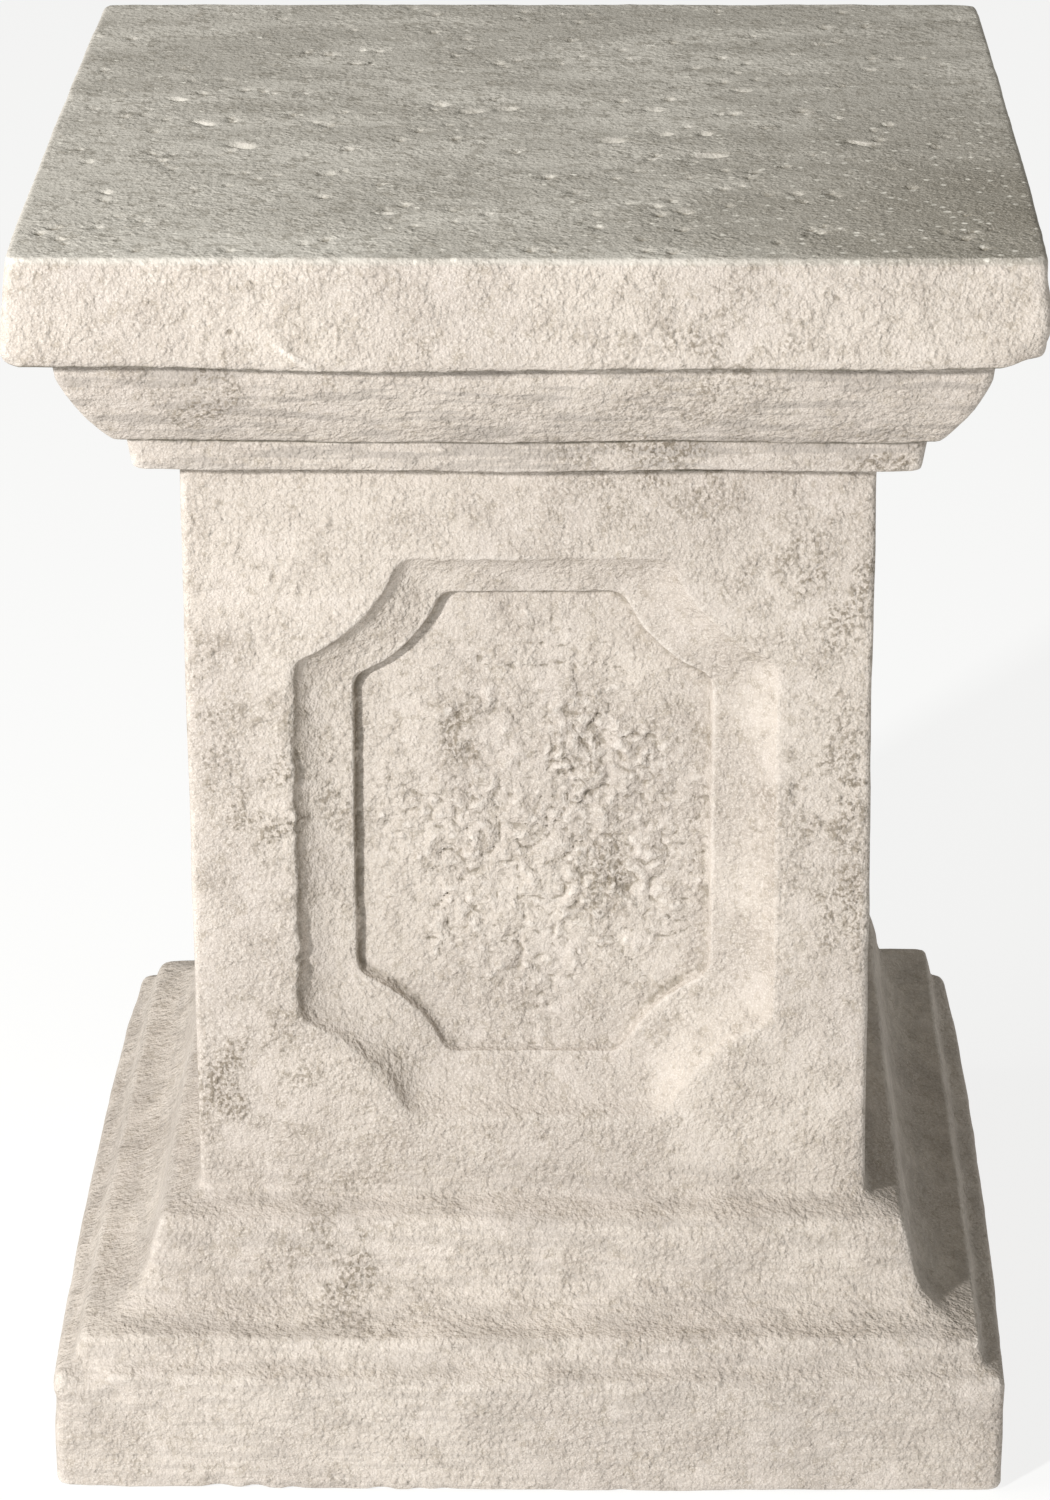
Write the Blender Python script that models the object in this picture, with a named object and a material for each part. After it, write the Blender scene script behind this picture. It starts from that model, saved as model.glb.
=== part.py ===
# Statue pedestal in cast stone: a moulded foot, a square shaft with an indented panel sunk in each
# side, and a moulded cap. It is one casting. Metres, +Z up, origin at the centre of the underside.
import math

import bmesh
import bpy
from mathutils import Matrix

# Foot, from the ground up
PLINTH_HEIGHT = 0.0420
PLINTH_WIDTH = 0.3080
PLINTH_ARRIS = 0.0035
LISTEL_HEIGHT = 0.0090
LISTEL_WIDTH = 0.2946
LISTEL_BATTER = 0.0026
SCOTIA_HEIGHT = 0.0190
SCOTIA_SAG = 0.0030
NOSE_HEIGHT = 0.0130
NOSE_WIDTH = 0.2500
NOSE_BATTER = 0.0022
NOSE_ROUND = 0.0040
WEATHERING = 0.0016

# Shaft, with the small cove where it grows out of the foot
SHAFT_HEIGHT = 0.2574
SHAFT_FOOT_WIDTH = 0.2194
SHAFT_HEAD_WIDTH = 0.2164
SHAFT_COVE = 0.0050

# Cornice and cap
NECK_FILLET_HEIGHT = 0.0115
NECK_FILLET_WIDTH = 0.2452
NECK_FILLET_LEAN = 0.0014
NECK_FILLET_ROUND = 0.0020
OVOLO_HEIGHT = 0.0235
OVOLO_QUIRK = 0.0030
OVOLO_BULGE = 0.0015
CAP_FILLET_HEIGHT = 0.0080
CAP_FILLET_WIDTH = 0.2854
CAP_HEIGHT = 0.0350
CAP_WIDTH = 0.3100
CAP_BATTER = 0.0034
CAP_LOWER_ARRIS = 0.0035
CAP_UPPER_ARRIS = 0.0010

# Rounding of the upright corners in plan
PLINTH_CORNER = 0.0040
SHAFT_CORNER = 0.0025
CAP_CORNER = 0.0030

# Panel: margins from the shaft's edges, then the sunk band and the field inside it
PANEL_SIDE_MARGIN = 0.0332
PANEL_FOOT_MARGIN = 0.0290
PANEL_HEAD_MARGIN = 0.0340
PANEL_NOTCH = 0.0350
PANEL_NOTCH_SAG = 0.0056
BAND_SIDE = 0.0195
BAND_FOOT = 0.0188
BAND_HEAD = 0.0140
FIELD_NOTCH = 0.0290
FIELD_NOTCH_SAG = 0.0050
NOTCH_EASE = 0.0050
RIM_DEPTH = 0.0020
RIM_SLOPE = 0.0008
BAND_DEPTH = 0.0060
BAND_COVE = 0.0060
FIELD_DEPTH = 0.0092
FIELD_WALL_SLOPE = 0.0014

# How finely curves are cut into facets
ARC_STEPS = 10
ROUND_STEPS = 3
CORNER_STEPS = 3
NOTCH_STEPS = 6

CUTTER_CLEARANCE = 0.0030
SHARP_ANGLE = math.radians(32)

STONE_COLOUR = (0.66, 0.59, 0.505, 1.0)
STONE_ROUGHNESS = 0.92


def bowed(start, end, bulge, steps):
    """Points from start to end along a shallow bow that stands off their chord by bulge, to its right."""
    (x0, z0), (x1, z1) = start, end
    chord = math.hypot(x1 - x0, z1 - z0)
    right = ((z1 - z0) / chord, -(x1 - x0) / chord)
    points = []
    for i in range(steps + 1):
        t = i / steps
        off = 4 * t * (1 - t) * bulge
        points.append((x0 + (x1 - x0) * t + right[0] * off, z0 + (z1 - z0) * t + right[1] * off))
    return points


def quarter(start, end, level_first, steps=ROUND_STEPS):
    """A quarter of an ellipse between two points, which sets off either level or upright."""
    (x0, z0), (x1, z1) = start, end
    points = []
    for i in range(steps + 1):
        a = math.pi / 2 * i / steps
        across, up = (math.sin(a), 1 - math.cos(a)) if level_first else (1 - math.cos(a), math.sin(a))
        points.append((x0 + (x1 - x0) * across, z0 + (z1 - z0) * up))
    return points


def foot_profile():
    """Half widths and heights of the foot, from its underside to the shaft's own foot."""
    plinth = PLINTH_WIDTH / 2
    listel = LISTEL_WIDTH / 2
    nose = NOSE_WIDTH / 2
    shaft = SHAFT_FOOT_WIDTH / 2
    listel_top = PLINTH_HEIGHT + LISTEL_HEIGHT
    nose_foot = listel_top + SCOTIA_HEIGHT
    nose_top = nose_foot + NOSE_HEIGHT
    shaft_foot = nose_top + WEATHERING
    listel_edge = listel - LISTEL_BATTER
    nose_edge = nose - NOSE_BATTER
    points = quarter((plinth - PLINTH_ARRIS, 0), (plinth, PLINTH_ARRIS), True)
    points += quarter((plinth, PLINTH_HEIGHT - PLINTH_ARRIS), (plinth - PLINTH_ARRIS, PLINTH_HEIGHT), False)
    points += [(listel, PLINTH_HEIGHT + WEATHERING)]
    points += bowed((listel_edge, listel_top), (nose, nose_foot), -SCOTIA_SAG, ARC_STEPS)
    points += quarter((nose_edge, nose_top - NOSE_ROUND), (nose_edge - NOSE_ROUND, nose_top), False)
    points += quarter((shaft + SHAFT_COVE, shaft_foot), (shaft, shaft_foot + SHAFT_COVE), True)
    return [(x, z, PLINTH_CORNER if z <= nose_foot else SHAFT_CORNER) for x, z in points]


def head_profile(shaft_head):
    """Half widths and heights of the cornice and the cap, from the shaft's head to the top."""
    neck = NECK_FILLET_WIDTH / 2
    neck_foot = neck - NECK_FILLET_LEAN
    fillet = CAP_FILLET_WIDTH / 2
    cap = CAP_WIDTH / 2
    neck_top = shaft_head + NECK_FILLET_HEIGHT
    ovolo_top = neck_top + OVOLO_HEIGHT
    cap_foot = ovolo_top + CAP_FILLET_HEIGHT
    cap_top = cap_foot + CAP_HEIGHT
    cap_edge = cap - CAP_BATTER
    points = [(SHAFT_HEAD_WIDTH / 2, shaft_head)]
    points += quarter((neck_foot - NECK_FILLET_ROUND, shaft_head),
                      (neck_foot, shaft_head + NECK_FILLET_ROUND), True)
    points += [(neck, neck_top)]
    points += bowed((neck + OVOLO_QUIRK, neck_top), (fillet, ovolo_top), OVOLO_BULGE, ARC_STEPS)
    points += [(fillet, cap_foot)]
    points += quarter((cap - CAP_LOWER_ARRIS, cap_foot), (cap, cap_foot + CAP_LOWER_ARRIS), True)
    points += quarter((cap_edge, cap_top - CAP_UPPER_ARRIS), (cap_edge - CAP_UPPER_ARRIS, cap_top), False)
    return [(x, z, SHAFT_CORNER if z <= neck_top else CAP_CORNER) for x, z in points]


def square_ring(half, height, corner):
    """A square of the given half width with rounded corners, at a height, counterclockwise from above."""
    points = []
    for turn in range(4):
        for i in range(CORNER_STEPS + 1):
            a = math.pi / 2 * (turn + i / CORNER_STEPS)
            x = (half - corner) * (1 if turn in (0, 3) else -1) + corner * math.cos(a)
            y = (half - corner) * (1 if turn in (0, 1) else -1) + corner * math.sin(a)
            points.append((x, y, height))
    return points


def skinned(name, rings):
    """A closed body through rings of one count of points, capped at both ends."""
    bm = bmesh.new()
    loops = [[bm.verts.new(point) for point in ring] for ring in rings]
    bm.faces.new(loops[0])
    bm.faces.new(loops[-1])
    count = len(loops[0])
    for lower, upper in zip(loops, loops[1:]):
        for i in range(count):
            j = (i + 1) % count
            bm.faces.new((lower[i], lower[j], upper[j], upper[i]))
    bmesh.ops.recalc_face_normals(bm, faces=bm.faces)
    mesh = bpy.data.meshes.new(name)
    bm.to_mesh(mesh)
    bm.free()
    body = bpy.data.objects.new(name, mesh)
    bpy.context.scene.collection.objects.link(body)
    return body


def eased(before, corner, after):
    """A corner of an outline turned into a short curve that starts NOTCH_EASE before it."""
    ends = []
    for other in (before, after):
        across, up = other[0] - corner[0], other[1] - corner[1]
        share = NOTCH_EASE / math.hypot(across, up)
        ends.append((corner[0] + across * share, corner[1] + up * share))
    points = []
    for i in range(ROUND_STEPS + 1):
        t = i / ROUND_STEPS
        weights = ((1 - t) ** 2, 2 * t * (1 - t), t ** 2)
        spots = (ends[0], corner, ends[1])
        points.append(tuple(sum(w * s[axis] for w, s in zip(weights, spots)) for axis in (0, 1)))
    return points


def indented_outline(half, foot, head, notch, sag):
    """A panel's outline in its own plane: a rectangle whose corners are cut off by inward bulging arcs."""
    corners = []
    for sx, edge in ((1, head), (-1, head), (-1, foot), (1, foot)):
        down = -notch if edge == head else notch
        on_side = (sx * half, edge + down)
        on_edge = (sx * (half - notch), edge)
        side_first = (sx > 0) == (edge == head)
        corners.append((on_side, on_edge) if side_first else (on_edge, on_side))
    points = []
    for i, (first, last) in enumerate(corners):
        bow = bowed(first, last, -sag, NOTCH_STEPS)
        points += eased(corners[i - 1][1], first, bow[1])
        points += bow[2:-2]
        points += eased(bow[-2], last, corners[(i + 1) % 4][0])
    return points


def panel_cutter(side, shaft_foot, shaft_head):
    """The body that sinks one panel: a steep rim, a coved band and, a step deeper, the field."""
    half = SHAFT_FOOT_WIDTH / 2 - PANEL_SIDE_MARGIN
    foot = shaft_foot + PANEL_FOOT_MARGIN
    head = shaft_head - PANEL_HEAD_MARGIN
    outer = indented_outline(half, foot, head, PANEL_NOTCH, PANEL_NOTCH_SAG)
    field = indented_outline(half - BAND_SIDE, foot + BAND_FOOT, head - BAND_HEAD,
                             FIELD_NOTCH, FIELD_NOTCH_SAG)
    face = (SHAFT_FOOT_WIDTH + SHAFT_HEAD_WIDTH) / 4
    flare = CUTTER_CLEARANCE * RIM_SLOPE / RIM_DEPTH
    levels = (
        (-flare / BAND_SIDE, -CUTTER_CLEARANCE),
        (RIM_SLOPE / BAND_SIDE, RIM_DEPTH),
        (BAND_COVE / BAND_SIDE, (RIM_DEPTH + 3 * BAND_DEPTH) / 4),
        (2 * BAND_COVE / BAND_SIDE, BAND_DEPTH),
        (1, BAND_DEPTH),
        (1 + FIELD_WALL_SLOPE / BAND_SIDE, FIELD_DEPTH),
    )
    rings = []
    for share, depth in levels:
        rings.append([(a[0] + (b[0] - a[0]) * share, depth - face, a[1] + (b[1] - a[1]) * share)
                      for a, b in zip(outer, field)])
    cutter = skinned(f"panel_cutter_{side}", rings)
    cutter.matrix_world = Matrix.Rotation(side * math.pi / 2, 4, "Z")
    cutter.hide_render = True
    cutter.display_type = "WIRE"
    return cutter


def cast_stone():
    """Pale cream cast stone with a dry, matt face."""
    material = bpy.data.materials.new("cast_stone")
    material.use_nodes = True
    shader = material.node_tree.nodes["Principled BSDF"]
    shader.inputs["Base Color"].default_value = STONE_COLOUR
    shader.inputs["Roughness"].default_value = STONE_ROUGHNESS
    shader.inputs["Metallic"].default_value = 0.0
    return material


def pedestal():
    """The whole casting: rounded squares lofted through the profile, with a panel sunk in each side."""
    shaft_foot = PLINTH_HEIGHT + LISTEL_HEIGHT + SCOTIA_HEIGHT + NOSE_HEIGHT + WEATHERING
    shaft_head = shaft_foot + SHAFT_HEIGHT
    profile = foot_profile() + head_profile(shaft_head)
    body = skinned("pedestal", [square_ring(*level) for level in profile])
    for side in range(4):
        cut = body.modifiers.new(f"panel_{side}", "BOOLEAN")
        cut.operation = "DIFFERENCE"
        cut.solver = "EXACT"
        cut.object = panel_cutter(side, shaft_foot, shaft_head)
    body.data.shade_smooth()
    body.data.set_sharp_from_angle(angle=SHARP_ANGLE)
    body.data.materials.append(cast_stone())
    return body


for old in list(bpy.data.objects):
    bpy.data.objects.remove(old)
pedestal()
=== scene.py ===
import math

import bpy
import numpy as np
from mathutils import Matrix, Vector


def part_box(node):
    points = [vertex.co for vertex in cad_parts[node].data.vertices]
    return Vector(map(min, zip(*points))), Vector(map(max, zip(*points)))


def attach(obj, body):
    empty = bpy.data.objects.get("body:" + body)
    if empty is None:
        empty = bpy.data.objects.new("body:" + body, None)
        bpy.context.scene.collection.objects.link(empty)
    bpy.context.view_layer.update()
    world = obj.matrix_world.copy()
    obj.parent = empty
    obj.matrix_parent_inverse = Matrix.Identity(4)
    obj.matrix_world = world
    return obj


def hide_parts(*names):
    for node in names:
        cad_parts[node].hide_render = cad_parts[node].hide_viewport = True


# A garden pedestal cast in pale stone: moulded foot, square shaft with a sunk indented panel in each
# side, and a moulded cap. One casting, so one piece, which stands for the frame's only node.
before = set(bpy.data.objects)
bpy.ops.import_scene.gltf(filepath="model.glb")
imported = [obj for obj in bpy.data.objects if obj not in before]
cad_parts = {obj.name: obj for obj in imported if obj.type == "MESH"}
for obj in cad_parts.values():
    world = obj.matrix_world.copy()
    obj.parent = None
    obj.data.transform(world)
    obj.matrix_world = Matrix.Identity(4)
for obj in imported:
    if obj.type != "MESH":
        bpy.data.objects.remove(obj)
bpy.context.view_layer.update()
foot_corner, head_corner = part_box("pedestal")

# Real millimetres of the casting, which is 420 mm high
CAST_HEIGHT = 420.0
MM = (head_corner[2] - foot_corner[2]) / CAST_HEIGHT

# Heights at which one member of the moulding ends and the next begins
PLINTH_TOP = 42.0
LISTEL_TOP = 51.5
NOSE_FOOT = 70.0
NOSE_TOP = 83.0
SHAFT_FOOT = 84.6
SHAFT_HEAD = 342.0
NECK_TOP = 353.5
OVOLO_TOP = 377.0
CAP_FOOT = 385.0

# Half widths of the members
PLINTH_HALF = 154.0
LISTEL_FOOT_HALF = 147.3
LISTEL_HEAD_HALF = 144.3
NOSE_FOOT_HALF = 125.0
NOSE_HEAD_HALF = 122.8
SHAFT_FOOT_HALF = 109.7
SHAFT_HEAD_HALF = 108.2
NECK_FOOT_HALF = 121.2
NECK_HEAD_HALF = 122.6
CAP_FILLET_HALF = 142.7
CAP_FOOT_HALF = 155.4
CAP_HEAD_HALF = 153.0

OVOLO_BULGE = 1.2
PLAN_CORNER = 3.0
ARRIS_STEPS = 3
CURVE_STEPS = 10

# The sunk panel of the photographed face: its band, and the field a step deeper inside it
BAND_MIDDLE = (1.7, 211.0)
BAND_SIZE = (153.5, 194.5)
BAND_NOTCH = 35.0
BAND_DEPTH = 9.0
FIELD_MIDDLE = (0.9, 213.2)
FIELD_SIZE = (114.6, 162.0)
FIELD_NOTCH = 29.0
FIELD_DEPTH = 13.2
NOTCH_PROFILE = 0.15
SHAFT_FACE = (SHAFT_FOOT_HALF + SHAFT_HEAD_HALF) / 2

# Fineness: grid of the dense working mesh, and the triangles that are kept of it
GRID = 0.95
TRIANGLES = 196000


def deselect():
    for piece in list(bpy.context.selected_objects):
        piece.select_set(False)


def make_active(piece):
    deselect()
    piece.select_set(True)
    bpy.context.view_layer.objects.active = piece


def apply_modifier(piece, kind, **settings):
    """Add one modifier with its settings and apply it."""
    modifier = piece.modifiers.new(kind.lower(), kind)
    for name, value in settings.items():
        setattr(modifier, name, value)
    make_active(piece)
    bpy.ops.object.modifier_apply(modifier=modifier.name)


def quarter(start, end, level_first, steps=ARRIS_STEPS):
    """Points on a quarter of an ellipse between two points, which sets off either level or upright."""
    (x0, z0), (x1, z1) = start, end
    points = []
    for i in range(steps + 1):
        a = math.pi / 2 * i / steps
        across, up = (math.sin(a), 1 - math.cos(a)) if level_first else (1 - math.cos(a), math.sin(a))
        points.append((x0 + (x1 - x0) * across, z0 + (z1 - z0) * up))
    return points


def bowed(start, end, bulge, steps=CURVE_STEPS):
    """Points along a shallow bow that stands off its chord by bulge, to the right of the way."""
    (x0, z0), (x1, z1) = start, end
    chord = math.hypot(x1 - x0, z1 - z0)
    points = []
    for i in range(steps + 1):
        t = i / steps
        off = 4 * t * (1 - t) * bulge / chord
        points.append((x0 + (x1 - x0) * t + (z1 - z0) * off, z0 + (z1 - z0) * t - (x1 - x0) * off))
    return points


def moulding():
    """Half widths and heights of the whole pedestal, from the underside to the top."""
    points = quarter((PLINTH_HALF - 1, 0), (PLINTH_HALF, 1.5), True)
    points += quarter((PLINTH_HALF, PLINTH_TOP - 4), (PLINTH_HALF - 3.5, PLINTH_TOP), False)
    points += [(LISTEL_FOOT_HALF + 0.6, PLINTH_TOP + 1.4), (LISTEL_FOOT_HALF, PLINTH_TOP + 2.4)]
    points += quarter((LISTEL_HEAD_HALF + 1.3, LISTEL_TOP - 2), (LISTEL_HEAD_HALF, LISTEL_TOP), False)
    points += quarter((LISTEL_HEAD_HALF - 0.5, LISTEL_TOP), (NOSE_FOOT_HALF, NOSE_FOOT), True, CURVE_STEPS)
    points += quarter((NOSE_HEAD_HALF, NOSE_TOP - 4), (NOSE_HEAD_HALF - 4, NOSE_TOP), False)
    points += quarter((SHAFT_FOOT_HALF + 5, SHAFT_FOOT), (SHAFT_FOOT_HALF, SHAFT_FOOT + 5), True)
    points += [(SHAFT_HEAD_HALF, SHAFT_HEAD)]
    points += quarter((NECK_FOOT_HALF - 2, SHAFT_HEAD), (NECK_FOOT_HALF, SHAFT_HEAD + 2), True)
    points += [(NECK_HEAD_HALF, NECK_TOP)]
    points += bowed((NECK_HEAD_HALF + 4, NECK_TOP + 0.3), (CAP_FILLET_HALF - 1, OVOLO_TOP), OVOLO_BULGE)
    points += [(CAP_FILLET_HALF, CAP_FOOT)]
    points += quarter((CAP_FOOT_HALF - 3.5, CAP_FOOT), (CAP_FOOT_HALF, CAP_FOOT + 4), True)
    points += quarter((CAP_HEAD_HALF + 1, CAST_HEIGHT - 1), (CAP_HEAD_HALF, CAST_HEIGHT), False)
    return points


def run_up_block():
    """The plain moulded block: a square with rounded corners, extruded and scaled up the moulding."""
    levels = moulding()
    half, height = levels[0]
    deselect()
    bpy.ops.mesh.primitive_plane_add(size=2 * half * MM, location=(0, 0, height * MM))
    block = bpy.context.object
    block.name = "moulded_pedestal"
    bpy.ops.object.transform_apply(location=True, rotation=True, scale=True)
    bpy.ops.object.mode_set(mode="EDIT")
    bpy.ops.mesh.select_all(action="SELECT")
    bpy.ops.mesh.bevel(offset=PLAN_CORNER * MM, segments=3, affect="VERTICES")
    for new_half, new_height in levels[1:]:
        bpy.ops.mesh.extrude_region_move(TRANSFORM_OT_translate={"value": (0, 0, (new_height - height) * MM)})
        growth = new_half / half
        bpy.ops.transform.resize(value=(growth, growth, 1), center_override=(0, 0, new_height * MM))
        half, height = new_half, new_height
    bpy.ops.mesh.select_all(action="SELECT")
    bpy.ops.mesh.normals_make_consistent(inside=False)
    bpy.ops.object.mode_set(mode="OBJECT")
    return block


def panel_cutter(middle, size, notch, sections):
    """A body with indented corners that sinks a panel: sections are (depth, how far in from the outline)."""
    cx, cz = middle
    wide, tall = size
    deselect()
    first_depth, first_inset = sections[0]
    bpy.ops.mesh.primitive_plane_add(size=1, location=(cx * MM, (first_depth - SHAFT_FACE) * MM, cz * MM),
                                     rotation=(math.pi / 2, 0, 0))
    cutter = bpy.context.object
    bpy.ops.object.transform_apply(location=True, rotation=True, scale=True)
    centre = (cx * MM, 0, cz * MM)
    bpy.ops.object.mode_set(mode="EDIT")
    bpy.ops.mesh.select_all(action="SELECT")
    scale = ((wide - 2 * first_inset) * MM, 1, (tall - 2 * first_inset) * MM)
    bpy.ops.transform.resize(value=scale, center_override=centre)
    bpy.ops.mesh.bevel(offset=notch * MM, segments=5, profile=NOTCH_PROFILE, affect="VERTICES")
    bpy.ops.object.mode_set(mode="OBJECT")
    edge_x = (wide / 2 - first_inset) * MM
    edge_z = (tall / 2 - first_inset) * MM
    for vertex in cutter.data.vertices:
        across, up = abs(vertex.co.x - centre[0]), abs(vertex.co.z - centre[2])
        vertex.select = abs(across - edge_x) < 0.1 * MM or abs(up - edge_z) < 0.1 * MM
    bpy.ops.object.mode_set(mode="EDIT")
    bpy.ops.mesh.bevel(offset=4 * MM, segments=3, affect="VERTICES")
    bpy.ops.mesh.select_all(action="SELECT")
    depth, inset = sections[0]
    for new_depth, new_inset in sections[1:]:
        bpy.ops.mesh.extrude_region_move(TRANSFORM_OT_translate={"value": (0, (new_depth - depth) * MM, 0)})
        scale = ((wide - 2 * new_inset) / (wide - 2 * inset), 1, (tall - 2 * new_inset) / (tall - 2 * inset))
        bpy.ops.transform.resize(value=scale, center_override=centre)
        depth, inset = new_depth, new_inset
    bpy.ops.mesh.select_all(action="SELECT")
    bpy.ops.mesh.normals_make_consistent(inside=False)
    bpy.ops.object.mode_set(mode="OBJECT")
    return cutter


def sink_panels(block):
    """Cut the band and then the field into all four sides; the hidden sides have them centred."""
    band_sections = ((-3, -1.2), (0, 0), (1.8, 0.8), (3.6, 2.4), (5.2, 4.4), (6.8, 7.4), (8.0, 11), (8.8, 15), (BAND_DEPTH, 18))
    field_sections = ((BAND_DEPTH - 3, -1.0), (BAND_DEPTH, 0), (FIELD_DEPTH, 0.9))
    for side in range(4):
        shift = 1 if side == 0 else 0
        for middle, size, notch, sections in (
            (BAND_MIDDLE, BAND_SIZE, BAND_NOTCH, band_sections),
            (FIELD_MIDDLE, FIELD_SIZE, FIELD_NOTCH, field_sections),
        ):
            cutter = panel_cutter((middle[0] * shift, middle[1]), size, notch, sections)
            cutter.data.transform(Matrix.Rotation(side * math.pi / 2, 4, "Z"))
            apply_modifier(block, "BOOLEAN", operation="DIFFERENCE", solver="EXACT", object=cutter)
            bpy.data.objects.remove(cutter)


# How far out of true the left and the right side stand at the front, in mm, at each height
SPREAD = ((0, 1.5, 0.2), (42, 1.3, 0.4), (51, 2.0, 1.1), (70, 1.0, 0.8), (84, 0, 0), (340, 0, 0), (343, 0.9, 0),
          (354, 0.8, 0), (380, 0.5, -1.4), (385, 0.8, -1.2), (386, 1.2, 0.3), (420, 0, 0.5))

LATTICE = 64


def swell(points, size, seed):
    """A smooth random field over points, between -1 and 1, whose swells are about size millimetres wide."""
    table = np.random.default_rng(seed).uniform(-1, 1, (LATTICE, LATTICE, LATTICE))
    at = points / np.asarray(size, float) + 1000
    cell = np.floor(at).astype(np.int64)
    t = at - cell
    t = t * t * (3 - 2 * t)
    total = np.zeros(len(points))
    for corner in range(8):
        step = np.array([corner & 1, corner >> 1 & 1, corner >> 2 & 1])
        weight = np.where(step == 1, t, 1 - t).prod(1)
        i, j, k = ((cell + step) % LATTICE).T
        total += weight * table[i, j, k]
    return total


def rough(points, size, seed, octaves=3):
    """Swells over swells, each set half as wide and half as high as the last."""
    total = np.zeros(len(points))
    for i in range(octaves):
        total += swell(points, np.asarray(size, float) / 2 ** i, seed + i) / 2 ** i
    return total


def lumps(points, size, seed, octaves=3):
    """Rounded lumps with sharp creases between them, from 0 up to about 1."""
    total = np.zeros(len(points))
    for i in range(octaves):
        total += np.abs(swell(points, np.asarray(size, float) / 2 ** i, seed + i)) / 2 ** i
    return total


def ramp(value, start, end):
    """0 before start, 1 after end, eased between; start may be the larger one."""
    t = np.clip((value - start) / (end - start), 0, 1)
    return t * t * (3 - 2 * t)


def between(value, low, high, ease):
    return ramp(value, low - ease, low + ease) * ramp(value, high + ease, high - ease)


def relaxed(points, edges, breadth):
    """Points drawn towards the middle of their neighbours, over about breadth millimetres."""
    rounds = max(1, round(3.4 * (breadth / GRID) ** 2))
    a, b = edges.T
    count = len(points)
    degree = np.bincount(edges.ravel(), minlength=count)[:, None]
    for _ in range(rounds):
        total = np.stack([np.bincount(a, points[b, k], count) + np.bincount(b, points[a, k], count)
                          for k in range(3)], 1)
        points = 0.4 * points + 0.6 * total / degree
    return points


def read_mesh(piece):
    """A mesh's vertex places in millimetres, its vertex normals and its edges, as arrays."""
    mesh = piece.data
    count = len(mesh.vertices)
    places = np.empty(count * 3)
    normals = np.empty(count * 3)
    edges = np.empty(len(mesh.edges) * 2, np.int64)
    mesh.vertices.foreach_get("co", places)
    mesh.vertices.foreach_get("normal", normals)
    mesh.edges.foreach_get("vertices", edges)
    return places.reshape(-1, 3) / MM, normals.reshape(-1, 3), edges.reshape(-1, 2)


def write_places(piece, places):
    piece.data.vertices.foreach_set("co", (places * MM).ravel())
    piece.data.update()


# Hollows left by trapped air on top of the cap: place across and back, length, width, depth, turn
TOP_HOLLOWS = (
    (-117, 24, 9, 3.5, 1.8, -20), (-106, -6, 11, 3.5, 2.4, -35), (-92, -33, 13, 7, 3.0, -25),
    (-96, 36, 5, 3, 1.4, 10), (-119, -1, 4, 3, 1.6, 0), (-116, -50, 5, 4, 1.6, 30), (-130, -86, 6, 3.5, 2.0, -40),
    (-93, -79, 4, 3, 1.2, 0), (-43, -109, 7, 3, 1.4, -10), (-31, 17, 9, 5, 2.2, -30), (-20, 9, 12, 6, 2.2, 15),
    (-9, 12, 10, 6, 2.6, 20), (-20, -9, 4, 3, 1.4, 0), (-12, -110, 4, 3, 1.6, 0), (-23, -105, 5, 3, 1.2, 0),
    (25, -27, 12, 6, 2.6, 10), (39, 11, 9, 4, 1.6, -20), (42, -19, 8, 4, 2.0, 0), (55, -19, 6, 5, 2.4, 0),
    (56, -44, 16, 6, 2.6, 8), (46, 39, 4, 3, 1.2, 0), (60, 5, 4, 3, 1.6, 0), (66, 36, 4, 3, 1.6, 0),
    (90, 6, 7, 6, -0.9, 0), (98, 1, 4, 4, 1.6, 0), (103, -29, 12, 4, 2.4, -35), (39, -101, 5, 4, 1.6, 0),
    (48, -108, 6, 4, 1.8, 20), (44, -96, 4, 3, 1.4, 0), (112, -60, 4, 3, 1.4, 0), (125, 40, 4, 3, 1.2, 0),
    (8, 70, 5, 3, 1.2, 0), (-60, 88, 5, 3, 1.2, 15), (95, 96, 5, 3, 1.4, 0), (-70, -5, 5, 3, 1.0, 0),
    (5, -70, 6, 3, 1.2, -20), (-58, -62, 5, 3, 1.0, 30),
)

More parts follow.
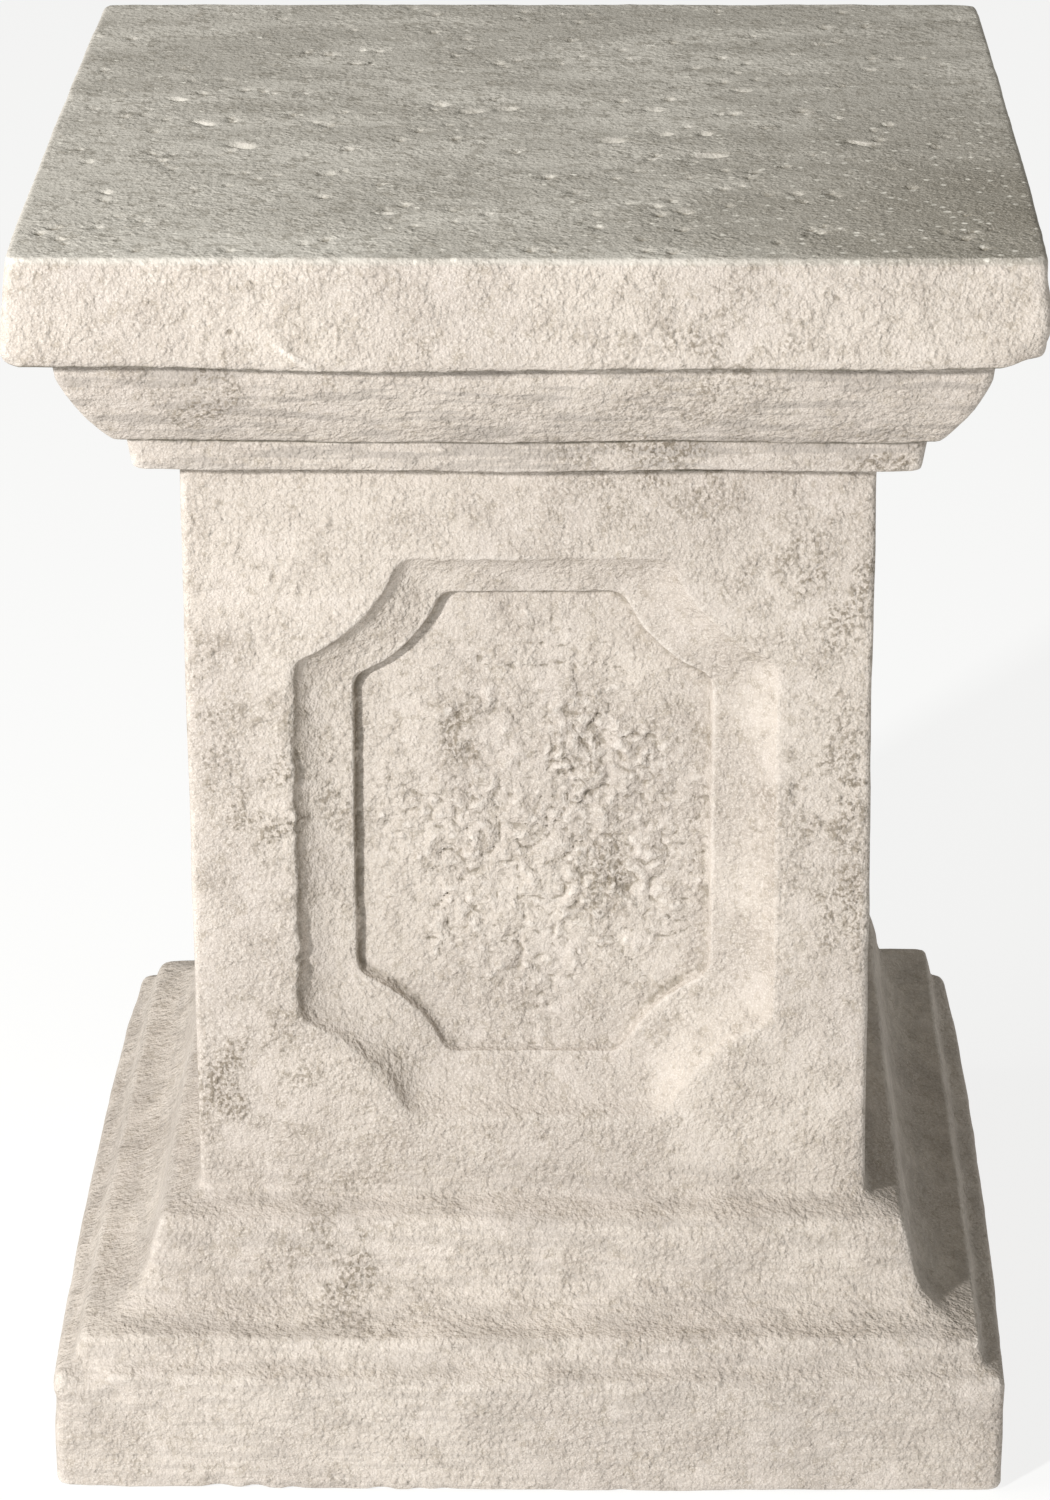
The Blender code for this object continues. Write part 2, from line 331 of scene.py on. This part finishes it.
# Knocks and air holes in the upright faces: place, radius and depth; a raised lump has a depth below 0
KNOCKS = (
    (-143, -154, 43, 9, 2.6), (-134, -156, 35, 7, 1.5), (-139, -156, 27, 3.5, 1.6), (-154, -152, 28, 8, 1.5),
    (-149, -156, 22, 6, 1.2), (-101, -156, 0, 7, 1.6), (-89, -156, -1, 6, 2.2), (-77, -156, 0, 5, 1.4),
    (-48, -156, 0, 6, 1.4), (-36, -156, -1, 5, 1.8), (-28, -156, 0, 4, 1.2), (30, -156, -1, 5, 1.0),
    (95, -156, 37, 7, 0.8), (91, -156, 22, 7, 0.9), (66, -156, 38, 2.2, 1.6), (71, -156, 38, 2.0, 1.4),
    (-121, -156, 25, 2.0, 1.4), (-87, -155, 397, 1.8, 1.2), (92, -155, 408, 1.8, 1.2), (154, -155, 384, 13, 3.2),
    (155, -150, 402, 12, -1.4), (-156, -155, 384, 7, 1.5), (-80, -109, 302, 1.6, 1.0), (85, -109, 231, 1.8, 1.3),
    (-105, -109, 113, 4, 0.8), (-113, -135, 375, 4, 0.8), (-102, -135, 373, 5, 0.9), (-16, -96, 270, 1.8, 1.2),
    (65, -131, 58, 3, 0.7), (20, -127, 71, 3, 0.7), (104, -109, 187, 3, 0.6), (12, -110, 305, 2, 0.7),
    (-26, -96, 245, 6, 1.4), (-18, -96, 236, 5, 1.4), (24, -96, 243, 5, 1.2), (18, -96, 196, 6, 1.4),
    (31, -96, 192, 6, 1.3), (25, -96, 193, 3, 1.2), (-23, -96, 250, 3, 1.2), (-20, -96, 240, 3, 1.2), (48, -111, 121, 9, 0.9), (-30, -111, 119, 8, 0.6),
)


def dig(p, n, near, radius, depth):
    """Round hollow about a point: near is every vertex's distance from it."""
    return p - n * (depth * np.clip(1 - (near / radius) ** 2, 0, 1) ** 2)[:, None]


def worn(p, n, edges):
    """Arrises rubbed off and creases filled, most of all on the foot and at the lower edge of the panel."""
    x, y, z = p.T
    front = ramp(-n[:, 1], 0.2, 0.6) * (y < -90)
    near_panel = front * (np.abs(x) < 90) * between(z, 104, 320, 6)
    fine = relaxed(p, edges, 1.25)
    broad = relaxed(fine, edges, 2.8)
    patchy = np.clip(0.5 + 0.5 * rough(p, 24, 21, 3), 0, 1)
    on_right = ramp(n[:, 0], 0.3, 0.6)

    gap = fine - p
    outward = (gap * n).sum(1)
    kept = near_panel * ramp(z, 140, 165)
    arris = (0.2 + 0.9 * patchy) * (1 - 0.75 * kept)
    crease = ramp(z, 130, 80) * (1 - on_right)
    rubbed = gap * np.where(outward < 0, arris, crease)[:, None]

    foot = between(z, 47, 100, 5) * (0.25 + 0.6 * patchy) * (1 - on_right)
    lower = near_panel * ramp(z, 150, 128) * (0.3 + 0.6 * patchy)
    right = near_panel * ramp(x, 48, 66) * 0.25
    upper = near_panel * ramp(x, -20, 10) * ramp(z, 288, 300) * 0.25
    give = np.max([foot, lower, right, upper], axis=0)[:, None]
    return rubbed * (1 - give) + (broad - p) * give


def out_of_true(p):
    """Courses that sag and wander, sides that stand out by their own measure, and bellied plinth and cap."""
    x, y, z = p.T
    shift = np.zeros_like(p)
    cornice = between(z, 336, 392, 4)
    foot = between(z, 36, 92, 6)
    middle = np.clip(1 - (np.minimum(np.abs(x), np.abs(y)) / 150) ** 2, 0, 1)
    shift[:, 2] -= cornice * 1.3 * middle
    shift[:, 2] += (cornice + foot) * 0.55 * rough(p * (1, 1, 0.25), 40, 11, 3)
    heights, left, right = np.array(SPREAD).T
    near = 0.5 - y / 300
    side = np.where(x < 0, -np.interp(z, heights, left), np.interp(z, heights, right))
    shift[:, 0] += side * near * np.abs(x) / 150
    for member, belly in ((ramp(z, 60, 36), 2.6), (ramp(z, 372, 386), 0.7)):
        for axis, other in ((0, 1), (1, 0)):
            along = np.clip(1 - (p[:, other] / 154) ** 2, 0, 1)
            shift[:, axis] += member * belly * along * p[:, axis] / 154
    # The cap's front edge droops, and the hollow of the foot is fuller behind on the right
    shift[:, 2] -= 0.8 * ramp(y, -120, -153) * ramp(z, 390, 418)
    shift[:, 2] += 6 * between(z, 44, 82, 6) * ramp(y, 95, 150) * ramp(x, 60, 115)
    return shift


def crust(p):
    """Flaking, lumpy skin of the panel's field: lumps, thin plates with crisp edges, and cracks."""
    q = p + 1.7 * np.stack([rough(p, 6, 61 + k, 3) for k in range(3)], 1)
    height = 1.3 * (lumps(q, 4.4, 41, 3) - 0.5)
    for size, seed, step in ((9, 51, 0.4), (5, 53, 0.3), (3, 55, 0.25)):
        height += step * (ramp(swell(q, size, seed), 0.0, 0.12) - 0.5)
    height -= 1.1 * np.exp(-(swell(q, 8, 57) / 0.045) ** 2) * ramp(swell(p, 16, 58), -0.1, 0.3)
    return height


def skin(p, n):
    """How far each place of the surface stands off its true place along its normal."""
    x, y, z = p.T
    seen = np.maximum(ramp(-n[:, 1], 0.2, 0.6), 0.6 * ramp(n[:, 2], 0.3, 0.7) * ramp(z, 410, 416))
    front = ramp(-n[:, 1], 0.2, 0.6) * (y < -90)
    top = ramp(z, 417, 419)
    off = 0.42 * rough(p, 55, 31, 2) * (1 - 0.7 * top) + 0.2 * rough(p, 14, 35, 2) * (1 - 0.5 * top)
    off += (0.04 + 0.12 * seen) * rough(p, 4.5, 38, 2)
    gritty = ramp(rough(p, 40, 25, 2), -0.1, 0.6) * (1 - top)
    off += seen * (0.05 + 0.13 * gritty) * swell(p, 2.3, 45)

    # Trowel strokes along the cornice and the foot
    strokes = np.maximum(between(z, 342, 386, 2), 0.6 * between(z, 40, 100, 6))
    off += ramp(-n[:, 1], 0.2, 0.6) * strokes * 0.22 * rough(p, (45, 45, 3.2), 47, 2)

    # Crusted field, strongest in its middle
    across, up = x - FIELD_MIDDLE[0], z - FIELD_MIDDLE[1]
    field = front * (np.abs(across) < 80) * (np.abs(up) < 100) * ramp(y, -SHAFT_FACE + BAND_DEPTH + 1.2, -SHAFT_FACE + BAND_DEPTH + 2.6)
    strength = np.clip(1.25 - ((across - 6) / 58) ** 2 - ((up + 2) / 76) ** 2 + 0.45 * swell(p, 24, 49), 0.15, 1.15)
    off += field * strength * crust(p)
    return off


def split_edge(p, n):
    """Crumbling, fissured left wall of the sunk band and of its upper left corner."""
    x, y, z = p.T
    wall = BAND_MIDDLE[0] - BAND_SIZE[0] / 2
    front = (n[:, 1] < 0.2) * (y < -97) * between(z, 152, 264, 5)
    beside = np.exp(-((x - wall) / 3.5) ** 2) * front
    p[:, 0] += beside * 0.8 * rough(p * (0.4, 0.4, 1), 5, 71, 3)
    for offset, seed, depth in ((0.8, 75, 1.2), (4.6, 77, 0.5)):
        line = wall + offset + 1.3 * swell(p * (0, 0, 1), 13, seed)
        open_here = ramp(swell(p * (0, 0, 1), 17, seed + 5), -0.35, 0.25)
        p[:, 1] += front * open_here * depth * np.exp(-((x - line) / 0.85) ** 2)
    return p


def weather(piece):
    """Turn the clean block into the hand-finished casting of the photograph."""
    bed, n, edges = read_mesh(piece)
    p = bed + worn(bed, n, edges) + out_of_true(bed)
    p = split_edge(p, n)
    p += n * skin(bed, n)[:, None]

    # The cap's front has a slumped ridge; hollows and knocks follow
    x, y, z = bed.T
    ridge = np.hypot((x + 68) + (z - 390) * 1.6, 0.6 * (z - 390))
    p[:, 1] -= (y < -150) * between(z, 385, 398, 2) * 1.3 * np.exp(-(ridge / 2.4) ** 2)
    for across, back, long, wide, depth, turn in TOP_HOLLOWS:
        c, s = math.cos(math.radians(turn)), math.sin(math.radians(turn))
        u, v = x - across, y - back
        near = np.hypot((u * c + v * s) / (long / 2), (v * c - u * s) / (wide / 2)) + (z < 417) * 9
        p = dig(p, n, near, 1.0, depth)
    chance = np.random.default_rng(91)
    on_top = z > 417
    for across, back in chance.uniform(-148, 148, (260, 2)):
        radius = chance.uniform(1.5, 3.0)
        depth = chance.choice((0.7, 0.9, 1.1, -0.3)) * radius / 2
        close = on_top & (np.abs(x - across) < 3) & (np.abs(y - back) < 3)
        p[close] = dig(p[close], n[close], np.hypot(x[close] - across, y[close] - back), radius, depth)
    for across, back, up, radius, depth in KNOCKS:
        p = dig(p, n, np.hypot(np.hypot(x - across, y - back), z - up), radius, depth)

    # The underside is cut flat
    p[:, 2] = np.maximum(p[:, 2], 0)
    write_places(piece, p)

    # Keep for the colouring: the clean place of every point, and how hollow or proud it lies
    p, n, edges = read_mesh(piece)
    relief = 0.6 * ((relaxed(p, edges, 1.0) - p) * n).sum(1) / 0.22 + 0.4 * ((relaxed(p, edges, 2.5) - p) * n).sum(1) / 0.7
    piece.data.attributes.new("bed", "FLOAT_VECTOR", "POINT").data.foreach_set("vector", bed.ravel())
    piece.data.attributes.new("relief", "FLOAT", "POINT").data.foreach_set("value", np.clip(relief, -1.5, 1.5))


def linear(code):
    """An sRGB hex colour as the linear colour that a shader takes."""
    parts = [int(code[i:i + 2], 16) / 255 for i in (1, 3, 5)]
    return tuple(v / 12.92 if v <= 0.04045 else ((v + 0.055) / 1.055) ** 2.4 for v in parts) + (1.0,)


def new_material(name):
    material = bpy.data.materials.new(name)
    material.use_nodes = True
    material.node_tree.nodes.clear()
    return material


def add_node(tree, kind, inputs=None, **settings):
    """Add one node with its settings; inputs are plain values or other nodes' outputs."""
    node = tree.nodes.new(kind)
    for name, value in settings.items():
        setattr(node, name, value)
    for name, value in (inputs or {}).items():
        if isinstance(value, bpy.types.NodeSocket):
            tree.links.new(value, node.inputs[name])
        else:
            node.inputs[name].default_value = value
    return node


def noise(tree, place, size, detail=4.0, roughness=0.6, stretch=(1, 1, 1)):
    """Clouded noise whose swells are about size millimetres; a stretch above 1 squeezes it along that way."""
    if stretch != (1, 1, 1):
        place = add_node(tree, "ShaderNodeVectorMath", {0: place, 1: stretch}, operation="MULTIPLY").outputs[0]
    node = add_node(tree, "ShaderNodeTexNoise", {"Vector": place, "Scale": 1 / (size * MM), "Detail": detail,
                                                 "Roughness": roughness})
    return node.outputs["Fac"]


def step_up(tree, value, low, high, top=1.0):
    """0 below low, top above high, eased between; low may be the larger one."""
    return add_node(tree, "ShaderNodeMapRange", {"Value": value, "From Min": low, "From Max": high, "To Max": top},
                    interpolation_type="SMOOTHSTEP").outputs["Result"]


def calc(tree, operation, a, b=0.0):
    return add_node(tree, "ShaderNodeMath", {0: a, 1: b}, operation=operation).outputs[0]


def product(tree, *values):
    result = values[0]
    for value in values[1:]:
        result = calc(tree, "MULTIPLY", result, value)
    return result


def tint(tree, share, under, over, mode="MIX"):
    """Lay one colour over another by a share between 0 and 1."""
    return add_node(tree, "ShaderNodeMix", {"Factor": share, "A": under, "B": over}, data_type="RGBA",
                    blend_type=mode).outputs["Result"]


def near_point(tree, bed, point, radius):
    """1 at a point of the clean block, in millimetres, falling to 0 at the radius."""
    away = add_node(tree, "ShaderNodeVectorMath", {0: bed, 1: point}, operation="DISTANCE").outputs["Value"]
    return step_up(tree, away, radius, 0.0)


def near_line(tree, bed, start, end, width):
    """1 on the line between two points of the clean block, falling to 0 at half the width beside it."""
    way = [b - a for a, b in zip(start, end)]
    length = sum(v * v for v in way)
    off = add_node(tree, "ShaderNodeVectorMath", {0: bed, 1: start}, operation="SUBTRACT").outputs[0]
    along = add_node(tree, "ShaderNodeVectorMath", {0: off, 1: [v / length for v in way]},
                     operation="DOT_PRODUCT").outputs["Value"]
    along = add_node(tree, "ShaderNodeClamp", {"Value": along}).outputs[0]
    foot = add_node(tree, "ShaderNodeVectorMath", {0: way, "Scale": along}, operation="SCALE").outputs[0]
    away = add_node(tree, "ShaderNodeVectorMath", {0: off, 1: foot}, operation="DISTANCE").outputs["Value"]
    return step_up(tree, away, width / 2, 0.0)


# Where dark grit has gathered: place and radius
SOOTY = (
    ((100, -110, 300), 60), ((104, -110, 230), 55), ((102, -110, 190), 40), ((-96, -110, 128), 50),
    ((-98, -135, 374), 34), ((-22, -96, 244), 20), ((22, -96, 242), 22), ((24, -96, 196), 24), ((-78, -108, 225), 55),
    ((60, -154, 388), 46), ((112, -122, 348), 34), ((40, -120, 346), 60), ((-110, -110, 260), 40), ((-60, -125, 72), 50),
)

# Bright scratches on the face of the shaft, and dark ones
PALE_SCRATCHES = (((-53, 322), (-51.5, 317)), ((-51.5, 317), (-51, 311)), ((-35.5, 326), (-30, 320)),
                  ((-30, 320), (-22.5, 316)), ((-28, 327), (-25, 322)))
DARK_SCRATCHES = (((-73, 122), (-73, 115)), ((103, 190), (105, 187)), ((105, 187), (104, 184)))

# Dark dirt and painted shadow along the left edges of the band and of the field, on the walls turned away from the
# lamp: two ends, width and share
LEFT_EDGE_DIRT_AND_SHADOW = (
    ((-75, -107, 150), (-75, -107, 272), 6, 0.5), ((-75, -107, 273), (-52, -107, 284), 4, 0.4),
    ((-52, -107, 284), (-41, -107, 307), 4, 0.4), ((-55.5, -97.5, 158), (-55.5, -97.5, 266), 6, 0.75),
    ((-55.5, -97.5, 265), (-40, -97.5, 275), 5, 0.65), ((-40, -97.5, 275), (-28, -97.5, 293), 5, 0.65),
)


def cast_stone():
    """Wet-cast limestone mix, struck from a mould and rubbed back: dry, matt, sandy and slightly stained.

    Gives the eye a pale cream skin with greyer clouds, dark grit and painted shade in the hollows, chalky rubbed
    arrises with a painted highlight, painted shade under the overhangs and along the panel's left walls, and a greyer
    top that is flecked with white, painted lighter at its front left and darker at its front right.
    """
    material = new_material("wet_cast_stone")
    tree = material.node_tree
    place = add_node(tree, "ShaderNodeTexCoord").outputs["Object"]
    bed = add_node(tree, "ShaderNodeAttribute", attribute_name="bed").outputs["Vector"]
    relief = add_node(tree, "ShaderNodeAttribute", attribute_name="relief").outputs["Fac"]
    height = add_node(tree, "ShaderNodeSeparateXYZ", {0: bed}).outputs["Z"]
    on_top = step_up(tree, height, 417.5, 419.6)

    cloud = noise(tree, place, 70, 2, 0.55)
    patch = noise(tree, place, 16, 4, 0.7)
    mottle = noise(tree, place, 4.5, 2, 0.7)
    grit = noise(tree, place, 1.5, 1, 0.6)
    sand = noise(tree, place, 0.6, 0, 0.5)
    streak = noise(tree, place, 26, 2, 0.65, (1, 1, 9))

    # The cream skin, clouded, blotched and grained
    skin_colour = tint(tree, step_up(tree, cloud, 0.38, 0.62), linear("#c6bcb1"), linear("#bab0a6"))
    skin_colour = tint(tree, step_up(tree, patch, 0.5, 0.66, 0.45), skin_colour, linear("#a89d92"))
    skin_colour = tint(tree, step_up(tree, patch, 0.47, 0.34, 0.3), skin_colour, linear("#d5cbc3"))
    skin_colour = tint(tree, step_up(tree, mottle, 0.52, 0.7, 0.5), skin_colour, linear("#a09586"))
    skin_colour = tint(tree, step_up(tree, sand, 0.52, 0.66, 0.45), skin_colour, linear("#dcd4cb"))

    # Horizontal rubbing on the cornice and the foot leaves greyer streaks
    cornice = calc(tree, "MULTIPLY", step_up(tree, height, 341, 345), step_up(tree, height, 388, 384))
    foot = step_up(tree, height, 104, 92, 0.5)
    courses = calc(tree, "MAXIMUM", cornice, foot)
    streaked = product(tree, courses, step_up(tree, streak, 0.46, 0.6, 0.6))
    skin_colour = tint(tree, streaked, skin_colour, linear("#a39b93"))

    # The top is greyer, with pale swirls; it is painted lighter at its front left, towards the lamp, and painted
    # darker at its front right, away from it
    swirl = noise(tree, place, 46, 2, 0.6, (0.6, 1.5, 1))
    top_colour = tint(tree, step_up(tree, swirl, 0.4, 0.62), linear("#bab5ab"), linear("#d2cdc3"))
    # Painted light towards the lamp, then painted shade on the far side of the top
    top_colour = tint(tree, near_point(tree, bed, (-135, -95, 420), 120), top_colour, linear("#ccc7bd"))
    top_colour = tint(tree, product(tree, near_point(tree, bed, (150, -110, 420), 150), 0.75), top_colour,
                      linear("#7d7668"))
    top_colour = tint(tree, step_up(tree, mottle, 0.5, 0.66, 0.65), top_colour, linear("#979185"))
    top_colour = tint(tree, step_up(tree, sand, 0.52, 0.68, 0.5), top_colour, linear("#dad4ca"))
    colour = tint(tree, on_top, skin_colour, top_colour)

    # Dark grit in clusters
    sooty = 0.12
    for point, radius in SOOTY:
        sooty = calc(tree, "MAXIMUM", sooty, near_point(tree, bed, point, radius))
    clustered = calc(tree, "MULTIPLY", sooty, step_up(tree, patch, 0.42, 0.58))
    specks = product(tree, clustered, step_up(tree, grit, 0.46, 0.6), 0.7)
    colour = tint(tree, specks, colour, linear("#6f6453"))

    # White flecks on top
    cells = add_node(tree, "ShaderNodeTexVoronoi", {"Vector": place, "Scale": 1 / (4.2 * MM)})
    chance = add_node(tree, "ShaderNodeSeparateColor", {0: cells.outputs["Color"]})
    fleck_share = calc(tree, "MULTIPLY", near_point(tree, bed, (120, -130, 420), 190), 0.5)
    chosen = calc(tree, "LESS_THAN", chance.outputs["Red"], calc(tree, "ADD", fleck_share, 0.2))
    fleck = product(tree, on_top, chosen, step_up(tree, cells.outputs["Distance"], 0.3, 0.14))
    colour = tint(tree, fleck, colour, linear("#e3ded3"))

    # Dirt and painted shade darken the hollows; arrises are rubbed chalky and carry a painted highlight
    colour = tint(tree, step_up(tree, relief, 0.3, 1.3, 0.55), colour, linear("#6f6554"))
    colour = tint(tree, step_up(tree, relief, -0.3, -1.3, 0.5), colour, linear("#e0d8cf"))

    # Painted shade: darker strips just under the overhangs of the cap, the ovolo and the neck
    broken = step_up(tree, noise(tree, place, 6, 2, 0.7), 0.3, 0.52)
    for low, high in ((338.0, 342), (352.4, 354.2), (383.0, 386)):
        overhang_shade = product(tree, step_up(tree, height, low - 0.5, low + 0.5), step_up(tree, height, high + 0.5, high - 0.5))
        colour = tint(tree, product(tree, overhang_shade, broken, 0.75), colour, linear("#55503f"))

    for (x0, z0), (x1, z1) in PALE_SCRATCHES:
        line = near_line(tree, bed, (x0, -SHAFT_FACE, z0), (x1, -SHAFT_FACE, z1), 1.6)
        colour = tint(tree, product(tree, line, 0.8), colour, linear("#eee8df"))
    for (x0, z0), (x1, z1) in DARK_SCRATCHES:
        line = near_line(tree, bed, (x0, -SHAFT_FACE, z0), (x1, -SHAFT_FACE, z1), 1.3)
        colour = tint(tree, product(tree, line, 0.7), colour, linear("#6f6453"))

    # Painted shadow, with dark dirt, on the left walls of the band and the field
    for start, end, width, share in LEFT_EDGE_DIRT_AND_SHADOW:
        line = product(tree, near_line(tree, bed, start, end, width), broken, share)
        colour = tint(tree, line, colour, linear("#5c5240"))

    # Fine relief in millimetres: rubbed skin, grit and sand
    fine = calc(tree, "MULTIPLY", noise(tree, place, 2.4, 1, 0.62),
                calc(tree, "ADD", 0.5, step_up(tree, patch, 0.4, 0.62, 0.75)))
    fine = calc(tree, "ADD", fine, calc(tree, "MULTIPLY", grit, 0.55))
    fine = calc(tree, "ADD", fine, calc(tree, "MULTIPLY", sand, 0.2))
    fine = calc(tree, "MULTIPLY", fine, calc(tree, "SUBTRACT", 1.0, calc(tree, "MULTIPLY", on_top, 0.45)))
    bump = add_node(tree, "ShaderNodeBump", {"Height": fine, "Strength": 1.0, "Distance": 1.0 * MM})

    shader = add_node(tree, "ShaderNodeBsdfPrincipled", {"Base Color": colour, "Roughness": 0.94,
                                                         "Specular IOR Level": 0.2,
                                                         "Normal": bump.outputs["Normal"]})
    add_node(tree, "ShaderNodeOutputMaterial", {"Surface": shader.outputs["BSDF"]})
    return material


def pale_floor():
    """White studio floor, lit from within as a lit sweep is, so that it stays near white."""
    material = new_material("white_studio_floor")
    tree = material.node_tree
    shader = add_node(tree, "ShaderNodeBsdfPrincipled", {"Base Color": linear("#7c7c7a"), "Roughness": 0.9,
                                                         "Emission Color": linear("#ffffff"),
                                                         "Emission Strength": 0.8})
    add_node(tree, "ShaderNodeOutputMaterial", {"Surface": shader.outputs["BSDF"]})
    return material


def pedestal():
    block = run_up_block()
    sink_panels(block)
    apply_modifier(block, "REMESH", mode="VOXEL", voxel_size=GRID * MM)
    weather(block)
    triangles = sum(len(face.vertices) - 2 for face in block.data.polygons)
    apply_modifier(block, "DECIMATE", ratio=min(1.0, TRIANGLES / triangles))
    block.data.polygons.foreach_set("use_smooth", [True] * len(block.data.polygons))
    block.data.materials.clear()
    block.data.materials.append(cast_stone())
    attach(block, "root")
    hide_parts("pedestal")
    return block


# Camera as fitted to the photograph: place in millimetres, turns in degrees
CAMERA_PLACE = (26.3, -1530.5, 834.1)
CAMERA_PITCH = 22.554
CAMERA_YAW = 1.114
CAMERA_ROLL = -0.267
CAMERA_LENS = 116.41


def camera():
    data = bpy.data.cameras.new("camera")
    data.lens = CAMERA_LENS
    data.sensor_width = 36.0
    data.clip_end = 50
    holder = bpy.data.objects.new("camera", data)
    bpy.context.scene.collection.objects.link(holder)
    turn = (Matrix.Rotation(math.radians(CAMERA_YAW), 4, "Z")
            @ Matrix.Rotation(math.radians(90 - CAMERA_PITCH), 4, "X")
            @ Matrix.Rotation(math.radians(CAMERA_ROLL), 4, "Z"))
    holder.matrix_world = Matrix.Translation([v * MM for v in CAMERA_PLACE]) @ turn
    bpy.context.scene.camera = holder


# Lamps: place in metres, the point they are turned to, size and power
LAMPS = (
    ("hard_key_front_left", (-1.215, -1.555, 0.99), (0, 0, 0.2), 0.1, 44.0),
    ("soft_fill_above_left", (-1.6, -0.3, 1.6), (0, 0, 0.25), 1.0, 14.0),
)


def lights():
    """One hard key at the front left, a weak soft fill above the left, and an even pale surround."""
    for name, place, target, size, power in LAMPS:
        lamp = bpy.data.lights.new(name, "AREA")
        lamp.size = size
        lamp.energy = power
        holder = bpy.data.objects.new(name, lamp)
        bpy.context.scene.collection.objects.link(holder)
        holder.location = place
        holder.rotation_euler = (Vector(target) - Vector(place)).to_track_quat("-Z", "Y").to_euler()

    world = bpy.data.worlds.new("surround")
    world.use_nodes = True
    background = world.node_tree.nodes["Background"]
    background.inputs["Color"].default_value = linear("#fdfdf6")
    background.inputs["Strength"].default_value = 0.28
    bpy.context.scene.world = world


def floor():
    deselect()
    bpy.ops.mesh.primitive_plane_add(size=12, location=(0, 0, -0.0005))
    sheet = bpy.context.object
    sheet.name = "studio_floor"
    bpy.ops.object.transform_apply(location=True, rotation=True, scale=True)
    sheet.data.materials.append(pale_floor())


camera()
lights()
floor()
pedestal()
bpy.context.scene.view_settings.view_transform = "Standard"
bpy.context.scene.view_settings.look = "None"
